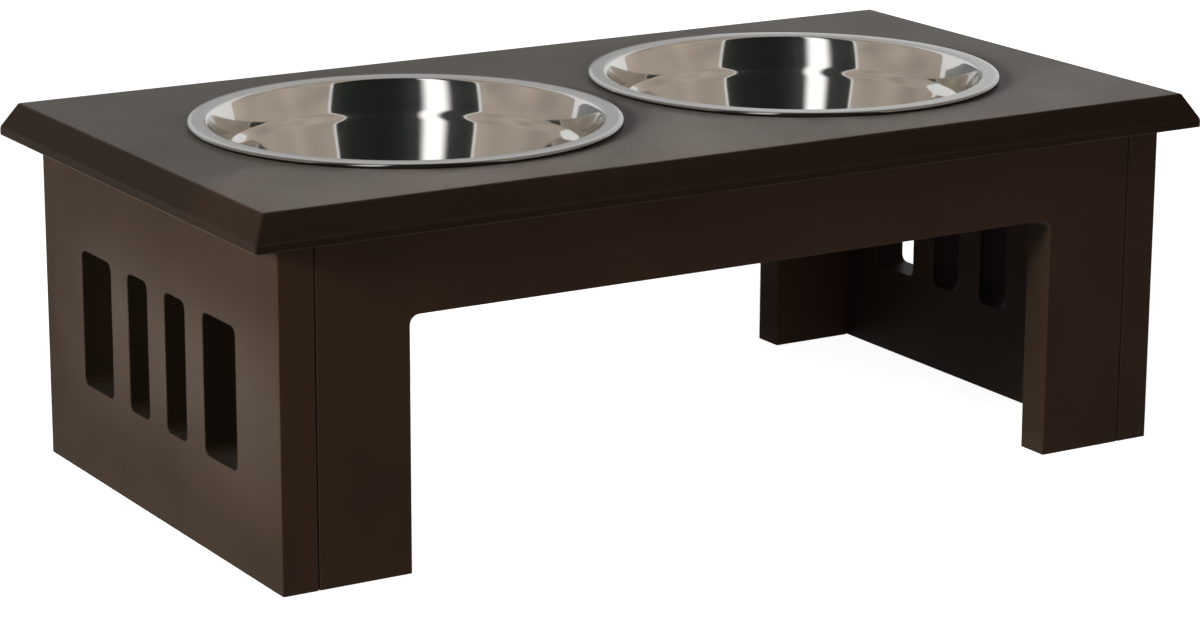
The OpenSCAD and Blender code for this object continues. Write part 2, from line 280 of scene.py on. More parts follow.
@dataclass(frozen=True)
class PolishedSteel(Finish):
    """Stainless steel, spun and buffed: a mirror in the bowl, satin on the flange."""

    # To the eye: clear dark and pale reflections down the wall with fine rings round the bowl,
    # a soft grey flange, whose darker steel is painted shade, and a bright line round the curled
    # rim
    name: str = "polished_stainless_steel"
    steel: str = "#cfcdc9"
    # The flange's darker steel colour is painted shade for its dimmer reflection
    shaded_flange_steel: str = "#8d8c8a"
    # The rings of the spinning are nearer 0.2 mm apart, and are drawn coarser so that they show
    ring: float = 0.4 * MM
    ring_height: float = 0.001 * MM
    # What the smoothest and the roughest ring make of the roughness
    ring_span: tuple[float, float] = (0.75, 1.3)
    ripple: float = 26 * MM
    ripple_height: float = 0.03 * MM
    mirror: float = 0.06
    satin: float = 0.27
    # Share of the flange's roughness that the curl keeps
    curl_share: float = 0.3
    # Roughness of the haze that the rings leave over the mirror, its share of the reflection, and
    # the least and the most of that share
    haze: float = 0.26
    haze_share: float = 0.14
    haze_span: tuple[float, float] = (0.4, 1.6)
    # Middle of the bowl, and where and how fast the finish changes at its mouth and its curl
    bowl_x: float = 94 * MM
    mouth_r: float = 79.5 * MM
    mouth_blend: float = 1.5 * MM
    curl_in: float = 85.6 * MM
    curl_blend: float = 0.6 * MM

    def shader(self, tree: Tree) -> Socket:
        """Draws the steel about the axis of whichever bowl wears it.

        Args:
            tree: The material's node tree.

        Returns:
            The steel's shader.
        """
        place = add_node(tree, "TexCoord")["Object"]
        mirrored = add_node(tree, "VectorMath", {0: place}, operation="ABSOLUTE")[0]
        to_axis = {"Vector": mirrored, "Location": (-self.bowl_x, 0, 0)}
        centred = add_node(tree, "Mapping", to_axis)[0]
        flat = add_node(tree, "VectorMath", {0: centred, 1: (1, 1, 0)}, operation="MULTIPLY")[0]
        radius = add_node(tree, "VectorMath", {0: flat}, operation="LENGTH")["Value"]
        height = add_node(tree, "SeparateXYZ", {0: place})["Z"]
        section = add_node(tree, "CombineXYZ", {"X": radius, "Z": height})[0]
        rings, ripples = (
            add_node(tree, "TexNoise", {"Vector": at, "Scale": 1 / size, "Detail": detail})[0]
            for at, size, detail in ((section, self.ring, 2.0), (place, self.ripple, 0.0))
        )
        edge = {1: self.mouth_r, 2: self.mouth_r + self.mouth_blend}
        flange = add_node(tree, "MapRange", {0: radius, **edge}, **SMOOTH)[0]
        # Outside the mouth the steel turns to the flange's painted shade
        tones = {6: linear(self.steel), 7: linear(self.shaded_flange_steel)}
        colour = add_node(tree, "Mix", {0: flange, **tones}, **COLOURS)[2]
        rough = add_node(tree, "MapRange", {0: flange, 3: self.mirror, 4: self.satin})[0]
        edge = {1: self.curl_in, 2: self.curl_in + self.curl_blend, 3: 1.0, 4: self.curl_share}
        curl = add_node(tree, "MapRange", {0: radius, **edge}, **SMOOTH)[0]
        low, high = self.ring_span
        grain = add_node(tree, "MapRange", {0: rings, **NOISE_SPAN, 3: low, 4: high})[0]
        for factor in (curl, grain):
            rough = add_node(tree, "Math", {0: rough, 1: factor}, operation="MULTIPLY")[0]
        spun = add_node(tree, "Bump", {"Distance": self.ring_height, "Height": rings})[0]
        wave = {"Distance": self.ripple_height, "Height": ripples, "Normal": spun}
        relief = add_node(tree, "Bump", wave)[0]
        low, high = (part * self.haze_share for part in self.haze_span)
        share = add_node(tree, "MapRange", {0: rings, **NOISE_SPAN, 3: low, 4: high})[0]
        metal = {"Base Color": colour, "Metallic": 1.0, "Normal": relief}
        sharp, soft = (
            add_node(tree, "BsdfPrincipled", {**metal, "Roughness": roughness})[0]
            for roughness in (rough, self.haze)
        )
        return add_node(tree, "MixShader", {0: share, 1: sharp, 2: soft})[0]


@dataclass(frozen=True)
class FittingMetal(Finish):
    """Metal of the hidden fittings, with the grain that its making leaves."""

    metal: str = "#a9abae"
    dull_metal: str = "#8f9194"
    roughness: float = 0.4
    # How much smoother and rougher the grain leaves it in places
    smoother: float = 0.08
    rougher: float = 0.1
    grain: float = 0.35 * MM
    grain_height: float = 0.01 * MM
    stain: float = 3 * MM

    def shader(self, tree: Tree) -> Socket:
        """Draws the metal.

        Args:
            tree: The material's node tree.

        Returns:
            The metal's shader.
        """
        place = add_node(tree, "TexCoord")["Object"]
        grains, stains = (
            add_node(tree, "TexNoise", {"Vector": place, "Scale": 1 / size, "Detail": 2.0})[0]
            for size in (self.grain, self.stain)
        )
        tones = {6: linear(self.dull_metal), 7: linear(self.metal)}
        colour = add_node(tree, "Mix", {0: stains, **tones}, **COLOURS)[2]
        span = {3: self.roughness - self.smoother, 4: self.roughness + self.rougher}
        rough = add_node(tree, "MapRange", {0: grains, **NOISE_SPAN, **span})[0]
        relief = add_node(tree, "Bump", {"Distance": self.grain_height, "Height": grains})[0]
        metal = {"Base Color": colour, "Metallic": 1.0, "Roughness": rough, "Normal": relief}
        return add_node(tree, "BsdfPrincipled", metal)[0]


@dataclass(frozen=True)
class BareBeech(Finish):
    """Turned beech without varnish."""

    # To the eye: pale tan, fine grain along the dowel and short darker flecks
    grain: Grain = Grain.UPRIGHT
    light_wood: str = "#dcbd90"
    dark_wood: str = "#c39a69"
    fleck_wood: str = "#a57b4d"
    light_roughness: float = 0.6
    dark_roughness: float = 0.72
    line: float = 0.7 * MM
    line_height: float = 0.02 * MM
    run: float = 18 * MM
    # Width of a fleck, the noise at which it starts and is full, and how much it covers then
    fleck: float = 0.125 * MM
    fleck_start: float = 0.62
    fleck_full: float = 0.7
    fleck_cover: float = 0.7

    def shader(self, tree: Tree) -> Socket:
        """Draws the wood.

        Args:
            tree: The material's node tree.

        Returns:
            The wood's shader.
        """
        place = add_node(tree, "TexCoord")["Object"]
        scales = [1 / self.line] * 3
        scales[self.grain.value] = 1 / self.run
        along = add_node(tree, "Mapping", {"Vector": place, "Scale": tuple(scales)})[0]
        lines, flecks = (
            add_node(tree, "TexNoise", {"Vector": along, "Scale": scale, "Detail": detail})[0]
            for scale, detail in ((1.0, 3.0), (self.line / self.fleck, 0.0))
        )
        tones = {6: linear(self.dark_wood), 7: linear(self.light_wood)}
        wood = add_node(tree, "Mix", {0: lines, **tones}, **COLOURS)[2]
        span = {1: self.fleck_start, 2: self.fleck_full, 3: 0.0, 4: self.fleck_cover}
        spots = add_node(tree, "MapRange", {0: flecks, **span})[0]
        tones = {6: wood, 7: linear(self.fleck_wood)}
        colour = add_node(tree, "Mix", {0: spots, **tones}, **COLOURS)[2]
        span = {3: self.dark_roughness, 4: self.light_roughness}
        rough = add_node(tree, "MapRange", {0: lines, **span})[0]
        relief = add_node(tree, "Bump", {"Distance": self.line_height, "Height": lines})[0]
        timber = {"Base Color": colour, "Roughness": rough, "Normal": relief}
        return add_node(tree, "BsdfPrincipled", timber)[0]


def dress(obj: Piece, *finishes: Finish) -> None:
    """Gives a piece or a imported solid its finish, or a board those of its faces and its edges.

    Args:
        obj: What wears the finishes.
        finishes: The finishes, in the order of the faces' material indices.
    """
    # Clearing also forgets which face wears which finish, so a new mesh is left as it is
    if len(obj.data.materials):
        obj.data.materials.clear()
    for finish in finishes:
        obj.data.materials.append(finish.material())


def body_of(node: str) -> str:
    """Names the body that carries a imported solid."""
    bodies = frame["record"]["behaviour"]["bodies"]
    return next(body for body, nodes in bodies.items() if node in nodes)


def as_object(bm: Mesh, name: str) -> Piece:
    """Puts a finished mesh in the scene.

    Args:
        bm: The mesh, in the stand's own frame. It is used up.
        name: What the object and its mesh are called.

    Returns:
        The new object.
    """
    mesh = bpy.data.meshes.new(name)
    bm.to_mesh(mesh)
    bm.free()
    made = bpy.data.objects.new(name, mesh)
    bpy.context.scene.collection.objects.link(made)
    return made


def place_piece(bm: Mesh, name: str, node: str) -> Piece:
    """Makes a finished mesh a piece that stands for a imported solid.

    Args:
        bm: The mesh, in the stand's own frame. It is used up.
        name: The piece's name.
        node: The solid that it stands for, whose body it rides on.

    Returns:
        The new piece.
    """
    for face in bm.faces:
        face.smooth = True
    piece = as_object(bm, name)
    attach(piece, body_of(node))
    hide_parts(node)
    return piece


def cut(bm: Mesh, axis: int, at: float) -> None:
    """Scores a mesh with a straight line across an axis.

    Args:
        bm: The mesh.
        axis: The index of the axis.
        at: Where on the axis the line lies.
    """
    normal = Vector((0, 0, 0))
    normal[axis] = 1
    every = bm.verts[:] + bm.edges[:] + bm.faces[:]
    bmesh.ops.bisect_plane(bm, geom=every, dist=SAME, plane_co=normal * at, plane_no=normal)


def round_cell(bm: Mesh, centre: Vector, radius: float, cuts: int) -> Face:
    """Draws a circle in the square cell about a point.

    Args:
        bm: The mesh.
        centre: The middle of the cell.
        radius: The circle's radius, less than half the cell's side.
        cuts: Points added to each side of the cell.

    Returns:
        The round face inside the circle.
    """
    cell = min(bm.faces, key=lambda face: (face.calc_center_median() - centre).length)
    bmesh.ops.inset_individual(bm, faces=[cell], thickness=CELL_INSET, use_even_offset=True)
    bmesh.ops.bisect_edges(bm, edges=list(cell.edges), cuts=cuts)
    rim = [loop.vert for loop in cell.loops]
    step = Matrix.Rotation(math.tau / len(rim), 3, cell.normal)
    spoke = (rim[0].co - centre).normalized() * radius
    for vert in rim:
        vert.co = centre + spoke
        spoke = step @ spoke
    return cell


def ease(bm: Mesh, edges: Iterable[bmesh.types.BMEdge], width: float, steps: int) -> list[Face]:
    """Rounds edges over.

    Args:
        bm: The mesh.
        edges: The edges to round.
        width: How far the rounding runs onto each face.
        steps: Facets across the rounding.

    Returns:
        The new faces.
    """
    return bmesh.ops.bevel(
        bm,
        geom=list(edges),
        offset=width,
        offset_type="OFFSET",
        affect="EDGES",
        segments=steps,
        profile=0.5,
        material=-1,
        clamp_overlap=False,
    )["faces"]


def ease_arrises(bm: Mesh, width: float, least_turn: float, highlight_and_thin_paint_under: float) -> None:
    """Rounds every arris over and marks where its paler colour goes, a painted highlight and
    thinner paint.

    Args:
        bm: A closed mesh with its faces outwards.
        width: Width of the rounding.
        least_turn: The smallest angle between faces, in degrees, that counts as an arris.
        highlight_and_thin_paint_under: Height under which an arris takes the painted highlight
            fully, and over which it hardly does.
    """
    sharp = [edge for edge in bm.edges if edge.calc_face_angle() > math.radians(least_turn)]
    mark = bm.faces.layers.float.new(ARRIS)
    for face in ease(bm, sharp, width, ARRIS_STEPS):
        # Low arrises take the full painted highlight, higher ones a faint share of it
        face[mark] = 1.0 if face.calc_center_median().z < highlight_and_thin_paint_under else FAINT_HIGHLIGHT_AND_THIN_PAINT


def even_shading(piece: Piece) -> None:
    """Keeps the flat faces of a board flat in the light, beside its rounded arrises."""
    shading = piece.modifiers.new("even_shading", "WEIGHTED_NORMAL")
    shading.weight = LARGE_FACES


@dataclass
class Opening:
    """A rectangle sawn out of a board, in the plane of the board."""

    left: float
    right: float
    foot: float
    head: float
    corner: float

    def holds(self, point: Vector) -> bool:
        """Tells whether a point of the board's plane lies in the opening."""
        return self.left < point.x < self.right and self.foot < point.y < self.head

    def rows(self) -> list[float]:
        """Lists the heights of its foot and head, which leaves out a foot on the board's own."""
        return [row for row in (self.foot, self.head) if row > 0]

    def corners(self) -> list[tuple[float, float]]:
        """Lists the corners that are rounded."""
        return [(column, row) for column in (self.left, self.right) for row in self.rows()]


@dataclass
class Board:
    """A painted board of the stand, whose routed edges wear a finish of their own."""

    node: str
    paint: SatinPaint
    edge_paint: SoakedPaint
    arris: float = 0.4 * MM
    # The smallest angle between faces, in degrees, that counts as an arris
    least_turn: float = 40
    low: Vector = field(init=False)
    high: Vector = field(init=False)

    def __post_init__(self) -> None:
        """Takes the board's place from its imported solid."""
        self.low, self.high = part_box(self.node)

    def shape(self) -> Mesh:
        """Draws the closed board in its place, with sharp arrises."""
        raise NotImplementedError

    def routed(self, face: Face) -> bool:
        """Tells whether a router cut a face, which leaves out the plain saw cuts."""
        return False

    def highlight_and_thin_paint_under(self) -> float:
        """Gives the height under which an arris takes the painted highlight fully."""
        return self.low.z

    def build(self) -> Piece:
        """Builds the board and dresses it.

        Returns:
            The finished piece.
        """
        bm = self.shape()
        bmesh.ops.recalc_face_normals(bm, faces=bm.faces[:])
        for face in bm.faces:
            face.material_index = int(self.routed(face))
        ease_arrises(bm, self.arris, self.least_turn, self.highlight_and_thin_paint_under())
        piece = place_piece(bm, self.node + "_painted", self.node)
        even_shading(piece)
        dress(piece, self.paint, self.edge_paint)
        return piece


@dataclass
class SawnBoard(Board):
    """A board drawn as a sheet, sawn out, thickened and stood in its place."""

    cam_r: float = 7.5 * MM
    cam_cell: float = 16 * MM
    cam_depth: float = 12.5 * MM
    # Points added to each side of a cam hole's cell, and facets of an opening's corner
    cam_cuts: int = 7
    corner_steps: int = 6

    def openings(self) -> list[Opening]:
        """Lists what is sawn out of the board."""
        raise NotImplementedError

    def cams(self) -> list[tuple[float, float]]:
        """Lists the middles of the cam nuts' holes, in the plane of the board."""
        raise NotImplementedError

    def standing(self) -> Matrix:
        """Turns the drawn board, whose top side is at zero, to where it stands."""
        raise NotImplementedError

    def extent(self) -> tuple[float, float, float]:
        """Gives the board's half width, its height and its thickness."""
        raise NotImplementedError

    def inward(self) -> Vector:
        """Points from the board's open inner face into the wood."""
        raise NotImplementedError

    def sheet(self) -> Mesh:
        """Draws the board flat, with its openings sawn out.

        Returns:
            A mesh one face thick.
        """
        half, height, _ = self.extent()
        bm = bmesh.new()
        outline = Matrix.Translation((0, height / 2, 0)) @ Matrix.Diagonal((half, height / 2, 1, 1))
        bmesh.ops.create_grid(bm, x_segments=1, y_segments=1, size=1, matrix=outline)
        cell = self.cam_cell / 2
        columns = [x + d for x, _ in self.cams() for d in (-cell, cell)]
        rows = [y + d for _, y in self.cams() for d in (-cell, cell)]
        for opening in self.openings():
            columns += [opening.left, opening.right]
            rows += opening.rows()
        for axis, places in enumerate((columns, rows)):
            for at in sorted({round(place, PLACES) for place in places}):
                cut(bm, axis, at)
        waste = [
            face
            for face in bm.faces
            if any(opening.holds(face.calc_center_median()) for opening in self.openings())
        ]
        bmesh.ops.delete(bm, geom=waste, context="FACES")
        return bm

    def round_openings(self, bm: Mesh) -> None:
        """Rounds the inner corners of the openings through the board.

        Args:
            bm: The thickened board, still lying flat.
        """
        for opening in self.openings():
            corners = opening.corners()
            upright = [
                edge
                for edge in bm.edges
                if abs(edge.verts[0].co.z - edge.verts[1].co.z) > self.extent()[2] / 2
                and any((edge.verts[0].co.xy - Vector(c)).length < CLOSE for c in corners)
            ]
            ease(bm, upright, opening.corner, self.corner_steps)

    def bore_cams(self, bm: Mesh) -> None:
        """Sinks the holes of the cam nuts into the inner face.

        Args:
            bm: The board in its place.
        """
        stand = self.standing()
        thickness = self.extent()[2]
        for x, y in self.cams():
            sides = [stand @ Vector((x, y, z)) for z in (0, -thickness)]
            centre = min(sides, key=lambda side: side.dot(self.inward()))
            disc = round_cell(bm, centre, self.cam_r, self.cam_cuts)
            floor = bmesh.ops.extrude_discrete_faces(bm, faces=[disc])["faces"][0]
            bmesh.ops.translate(bm, verts=list(floor.verts), vec=self.inward() * self.cam_depth)

    def shape(self) -> Mesh:
        """Draws the closed board in its place, with sharp arrises.

        Returns:
            The board's mesh.
        """
        bm = self.sheet()
        bmesh.ops.solidify(bm, geom=bm.faces[:], thickness=self.extent()[2])
        bmesh.ops.recalc_face_normals(bm, faces=bm.faces[:])
        self.round_openings(bm)
        bmesh.ops.transform(bm, matrix=self.standing(), verts=bm.verts[:])
        self.bore_cams(bm)
        return bm


@dataclass
class SidePanel(SawnBoard):
    """An end of the stand, with four upright slots: wide, narrow, narrow and wide."""

    side: Side = Side.LEFT
    low_rail: float = 39 * MM
    high_rail: float = 40 * MM
    stile: float = 37 * MM
    narrow: float = 18.5 * MM
    bar: float = 16 * MM
    slot_corner: float = 3.5 * MM
    cam_reach: float = 24 * MM
    # A face whose normal has less than this across the panel runs through its thickness
    across: float = 0.5

    def extent(self) -> tuple[float, float, float]:
        """Gives the panel's half width, its height and its thickness."""
        return self.high.y, self.high.z, self.high.x - self.low.x

    def openings(self) -> list[Opening]:
        """Lists the four slots.

        Returns:
            The slots, from the middle of the panel outwards on each side.
        """
        half, height, _ = self.extent()
        near = (self.bar / 2, self.bar / 2 + self.narrow)
        far = (near[1] + self.bar, half - self.stile)
        spans = [near, far, (-near[1], -near[0]), (-far[1], -far[0])]
        head = height - self.high_rail
        return [Opening(a, b, self.low_rail, head, self.slot_corner) for a, b in spans]

    def cams(self) -> list[tuple[float, float]]:
        """Lists the two cam nuts, each over a bar between a narrow and a wide slot."""
        out = self.bar + self.narrow
        return [(sign * out, self.high.z - self.cam_reach) for sign in (-1, 1)]

    def standing(self) -> Matrix:
        """Stands the drawing on its edge, across the end of the stand."""
        return Matrix(((0, 0, 1, self.high.x), (1, 0, 0, 0), (0, 1, 0, 0), (0, 0, 0, 1)))

    def inward(self) -> Vector:
        """Points out of the stand's end."""
        return Vector((self.side.value, 0, 0))

    def routed(self, face: Face) -> bool:
        """Tells the walls of the slots and the cam holes from the panel's faces and outer edges.

        Args:
            face: A face of the panel.

        Returns:
            Whether a router cut it.
        """
        middle = face.calc_center_median()
        within = abs(middle.y) < self.high.y - self.arris
        within = within and self.arris < middle.z < self.high.z - self.arris
        return within and abs(face.normal.x) < self.across


@dataclass
class LegFrame(SawnBoard):
    """The front or the rear: one board sawn out under its apron to leave two legs."""

    end: End = End.FRONT
    leg: float = 40 * MM
    apron: float = 34 * MM
    arch_corner: float = 4 * MM
    cam_reach: float = 24 * MM
    # Hairline between the frame's end and the side panel, which shows as a dark seam
    seam: float = 0.4 * MM

    def extent(self) -> tuple[float, float, float]:
        """Gives the frame's half length, its height and its thickness."""
        return self.high.x - self.seam, self.high.z, self.high.y - self.low.y

    def openings(self) -> list[Opening]:
        """Gives the arch between the legs."""
        half = self.high.x - self.leg
        return [Opening(-half, half, 0, self.high.z - self.apron, self.arch_corner)]

    def cams(self) -> list[tuple[float, float]]:
        """Lists the cam nuts, one half way up each leg."""
        return [(sign * (self.high.x - self.cam_reach), self.high.z / 2) for sign in (-1, 1)]

    def standing(self) -> Matrix:
        """Stands the drawing up along the stand."""
        return Matrix(((1, 0, 0, 0), (0, 0, -1, self.low.y), (0, 1, 0, 0), (0, 0, 0, 1)))

    def inward(self) -> Vector:
        """Points out of the stand's front or rear."""
        return Vector((0, self.end.value, 0))


@dataclass
class TopBoard(Board):
    """The top: a lip under a routed bevel all round, and a round cut-out for each bowl."""

    arris: float = 0.7 * MM
    least_turn: float = 20
    lip: float = 3.6 * MM
    bevel_in: float = 6 * MM
    # A face whose normal has less than this upwards belongs to the lip or the bevel
    upwards: float = 0.9
    bowl_x: float = 94 * MM
    cutout_r: float = 81.8 * MM
    cell: float = 180 * MM
    # Points added to each side of a cut-out's cell
    cutout_cuts: int = 39

    def sheet(self) -> Mesh:
        """Draws the underside with its two round cut-outs.

        Returns:
            A mesh one face thick.
        """
        bm = bmesh.new()
        outline = Matrix.Diagonal((self.high.x, self.high.y, 1, 1))
        outline = Matrix.Translation((0, 0, self.low.z)) @ outline
        bmesh.ops.create_grid(bm, x_segments=1, y_segments=1, size=1, matrix=outline)
        edges = (-self.cell / 2, self.cell / 2)
        for side in Side:
            for edge in edges:
                cut(bm, 0, side.value * self.bowl_x + edge)
        for edge in edges:
            cut(bm, 1, edge)
        for side in Side:
            centre = Vector((side.value * self.bowl_x, 0, self.low.z))
            disc = round_cell(bm, centre, self.cutout_r, self.cutout_cuts)
            bmesh.ops.delete(bm, geom=[disc], context="FACES_ONLY")
        return bm

    def shape(self) -> Mesh:
        """Draws the closed board in its place, with sharp arrises.

        Returns:
            The board's mesh.
        """
        bm = self.sheet()
        grown = bmesh.ops.extrude_face_region(bm, geom=bm.faces[:])["geom"]
        raised = [part for part in grown if isinstance(part, bmesh.types.BMVert)]
        bmesh.ops.translate(bm, verts=raised, vec=(0, 0, self.high.z - self.low.z))
        cut(bm, 2, self.low.z + self.lip)
        for vert in raised:
            for axis in (0, 1):
                if abs(vert.co[axis]) > self.high[axis] - CLOSE:
                    vert.co[axis] -= math.copysign(self.bevel_in, vert.co[axis])
        return bm

    def routed(self, face: Face) -> bool:
        """Tells the lip and the bevel from the rest.

        Args:
            face: A face of the board.

        Returns:
            Whether a router cut it.
        """
        middle = face.calc_center_median()
        outside = any(abs(middle[axis]) > self.high[axis] - self.bevel_in for axis in (0, 1))
        return outside and abs(face.normal.z) < self.upwards

    def highlight_and_thin_paint_under(self) -> float:
        """Gives the height under which an arris takes the painted highlight fully, half way up the
        lip.
        """
        return self.low.z + self.lip / 2


def arc(centre: Vector, radius: float, start: float, sweep: float, steps: int) -> list[Vector]:
    """Draws part of a circle.

    Args:
        centre: The middle of the circle.
        radius: Its radius.
        start: Angle of the first point, in radians.
        sweep: Angle from the first point to the last.
        steps: Facets between them.

    Returns:
        The points, with both ends.
    """
    angles = [start + sweep * i / steps for i in range(steps + 1)]
    return [centre + radius * Vector((math.cos(a), math.sin(a))) for a in angles]


@dataclass
class Bowl:
    """A pressed steel bowl: curled rim, flange, leaning upper wall, step, lower wall and floor."""

    side: Side
    steel: PolishedSteel
    flange: float = 8.5 * MM
    mouth_round: float = 2 * MM
    step_depth: float = 14 * MM
    # Lean of the upper wall at the mouth and at the step, in degrees
    mouth_lean: float = 25
    step_lean: float = 11
    step_in: float = 1.6 * MM
    step_height: float = 1.8 * MM
    # How far the step's soft bend runs into the wall above it and below it
    step_ease: float = 1.4 * MM
    floor_in: float = 22 * MM
    floor_round: float = 16 * MM
    sheet: float = 0.8 * MM
    curl_r: float = 1.1 * MM
    # Facets down the section and round the bowl
    curl_steps: int = 24
    mouth_steps: int = 12
    upper_steps: int = 24
    bend_steps: int = 16
    lower_steps: int = 8
    corner_steps: int = 24
    floor_steps: int = 6
    turns: int = 192

    @property
    def node(self) -> str:
        """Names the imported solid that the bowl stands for."""
        return self.side.name.lower() + "_bowl"

    def midline(self, rim_r: float, top: float, foot: float) -> list[Vector]:
        """Draws the middle of the sheet as points of radius and height.

        Args:
            rim_r: The bowl's outer radius.
            top: Height of the flange's upper face.
            foot: Height of the floor's underside.

        Returns:
            The points from the flange's outer end to the axis.
        """
        half = self.sheet / 2
        lean = math.radians(self.mouth_lean)
        start, end = math.tan(lean), math.tan(math.radians(self.step_lean))
        drop = self.mouth_round * (1 - math.sin(lean))
        mouth = Vector((rim_r - self.flange + half, top - half - drop))
        turn = mouth + self.mouth_round * Vector((math.cos(lean), -math.sin(lean)))
        wall_height = self.step_depth - (top - half - mouth.y)
        upper = mouth - wall_height * Vector(((start + end) / 2, 1))
        lower = upper - Vector((self.step_in, self.step_height))
        corner = Vector((lower.x - self.floor_in, foot + half + self.floor_round))
        rise = lower - corner
        touch = math.atan2(rise.y, rise.x) - math.acos(self.floor_round / rise.length)
        # The upper wall eases from one lean to the other, down to where the step's bend begins
        ease_at = 1 - self.step_ease / wall_height
        shares = [ease_at * i / self.upper_steps for i in range(1, self.upper_steps + 1)]
        change = (end - start) / 2
        wall = [mouth - wall_height * t * Vector((start + change * t, 1)) for t in shares]
        # The bend is one smooth curve, whose handles have a third of its height
        bend_to = lower + self.step_ease * Vector((math.tan(touch), -1))
        handle = (self.step_height + 2 * self.step_ease) / 3
        upper_handle = wall[-1] + handle * Vector((-start - (end - start) * ease_at, -1))
        lower_handle = bend_to - handle * Vector((math.tan(touch), -1))
        ends = (wall[-1], upper_handle, lower_handle, bend_to)
        bend = interpolate_bezier(*ends, self.bend_steps + 1)
        round_floor = arc(corner, self.floor_round, touch, -math.pi / 2 - touch, self.corner_steps)
        down = [i / self.lower_steps for i in range(1, self.lower_steps)]
        inwards = [i / self.floor_steps for i in range(1, self.floor_steps + 1)]
        # One point on the flange, a third of its width from the mouth, keeps it flat
        flange = [Vector((x, top - half)) for x in (rim_r - self.curl_r, turn.x + self.flange / 3)]
        return [
            *flange,
            *arc(turn, self.mouth_round, math.pi / 2, math.pi / 2 - lean, self.mouth_steps),
            *wall[:-1],
            *bend,
            *(bend_to.lerp(round_floor[0], t) for t in down),
            *round_floor,
            *(Vector((corner.x * (1 - t), foot + half)) for t in inwards),
        ]

    def beside(self, line: list[Vector], distance: float) -> list[Vector]:
        """Moves a line sideways.

        Args:
            line: Points from the rim to the axis.
            distance: How far to move, upwards and inwards where it is above zero.

        Returns:
            The moved points.
        """
        moved = []
        for i, point in enumerate(line):
            heading = (line[min(i + 1, len(line) - 1)] - line[max(i - 1, 0)]).normalized()
            moved.append(point + distance * Vector((heading.y, -heading.x)))
        moved[-1].x = 0
        return moved

    def profile(self, low: Vector, high: Vector) -> list[Vector]:
        """Draws the closed section of the sheet.

        Args:
            low: The bowl's lowest corner.
            high: The bowl's highest corner.

        Returns:
            Points from the axis up the inside, round the curl and back down the outside.
        """
        rim_r = (high.x - low.x) / 2
        line = self.midline(rim_r, high.z, low.z)
        inside = self.beside(line, self.sheet / 2)
        outside = self.beside(line, -self.sheet / 2)
        # The curl runs from its top, round its outer side, to the underside of the flange
        curl = Vector((rim_r - self.curl_r, high.z - self.curl_r))
        meets = math.asin((outside[0].y - curl.y) / self.curl_r)
        sweep = math.pi + math.pi / 2 + meets
        rim = arc(curl, self.curl_r, math.pi / 2, -sweep, self.curl_steps)
        return inside[::-1] + rim[1:] + outside[1:]

    def build(self) -> Piece:
        """Builds the bowl and dresses it.

        Returns:
            The finished piece.
        """
        low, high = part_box(self.node)
        axis = Vector(((low.x + high.x) / 2, (low.y + high.y) / 2, 0))
        bm = bmesh.new()
        points = [bm.verts.new(axis + Vector((p.x, 0, p.y))) for p in self.profile(low, high)]
        edges = [bm.edges.new(pair) for pair in zip(points, points[1:])]
        bmesh.ops.spin(
            bm,
            geom=points + edges,
            cent=axis,
            axis=(0, 0, 1),
            angle=math.tau,
            steps=self.turns,
            use_merge=True,
        )
        bmesh.ops.remove_doubles(bm, verts=bm.verts[:], dist=SAME)
        bmesh.ops.recalc_face_normals(bm, faces=bm.faces[:])
        piece = place_piece(bm, self.node + "_polished", self.node)
        dress(piece, self.steel)
        return piece


@dataclass
class Fittings:
    """The cam bolts, cam nuts and dowels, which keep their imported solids."""

    # Cast zinc is grey and finely grained, and plated steel is paler and smoother
    nuts: FittingMetal = FittingMetal("die_cast_zinc")
    bolts: FittingMetal = FittingMetal(
        "plated_steel",
        metal="#c2c2bd",
        dull_metal="#a6a6a2",
        roughness=0.28,
        grain=0.2 * MM,
        grain_height=0.004 * MM,
    )
    upright_dowels: BareBeech = BareBeech("bare_beech_upright", grain=Grain.UPRIGHT)
    long_dowels: BareBeech = BareBeech("bare_beech_lengthwise", grain=Grain.LENGTHWISE)

    def finish_of(self, node: str) -> Finish | None:
        """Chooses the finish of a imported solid.

        Args:
            node: The solid's name.

        Returns:
            Its finish, or nothing where the solid isn't a fitting.
        """
        if "cam_nut" in node:
            return self.nuts
        if "cam_bolt" in node:
            return self.bolts
        if "leg_dowels" in node:
            return self.long_dowels
        return self.upright_dowels if "dowels" in node else None

    def build(self) -> list[str]:
        """Dresses every fitting.

        Returns:
            The names of the dressed solids.
        """
        dressed = []
        for node, solid in sorted(frame["nodes"].items()):
            finish = self.finish_of(node)
            if finish is not None:
                dress(solid, finish)
                dressed.append(node)
        return dressed


def towards(azimuth: float, elevation: float) -> Vector:
    """Points from the stand to a place in the studio.

    Args:
        azimuth: Degrees round the stand from its front, and to its right above zero.
        elevation: Degrees above the floor.

    Returns:
        A vector of length 1.
    """
    a, e = math.radians(azimuth), math.radians(elevation)
    return Vector((math.sin(a) * math.cos(e), -math.cos(a) * math.cos(e), math.sin(e)))


def aimed(
    target: Vector, azimuth: float, elevation: float, distance: float, roll: float = 0
) -> Matrix:
    """Places a lamp or the camera so that it looks at a point.

    Args:
        target: The point that it looks at.
        azimuth: Degrees round the point, as for towards.
        elevation: Degrees above the point.
        distance: How far it is from the point.
        roll: Degrees that it is turned about its own line of sight.

    Returns:
        Its place and turn.
    """
    away = towards(azimuth, elevation)
    turn = away.to_track_quat("Z", "Y").to_matrix() @ Matrix.Rotation(math.radians(roll), 3, "Z")
    return Matrix.Translation(target + away * distance) @ turn.to_4x4()


def seen(tree: Tree) -> Socket:
    """Tells the rays that show a background from those that only light the object.

    Args:
        tree: A node tree of the floor or the world.

    Returns:
        1 for camera, glossy and transmission rays, and 0 for the rest.
    """
    path = add_node(tree, "LightPath")
    shown = path["Is Camera Ray"]
    for ray in ("Is Glossy Ray", "Is Transmission Ray"):
        shown = add_node(tree, "Math", {0: shown, 1: path[ray]}, operation="MAXIMUM")[0]
    return shown


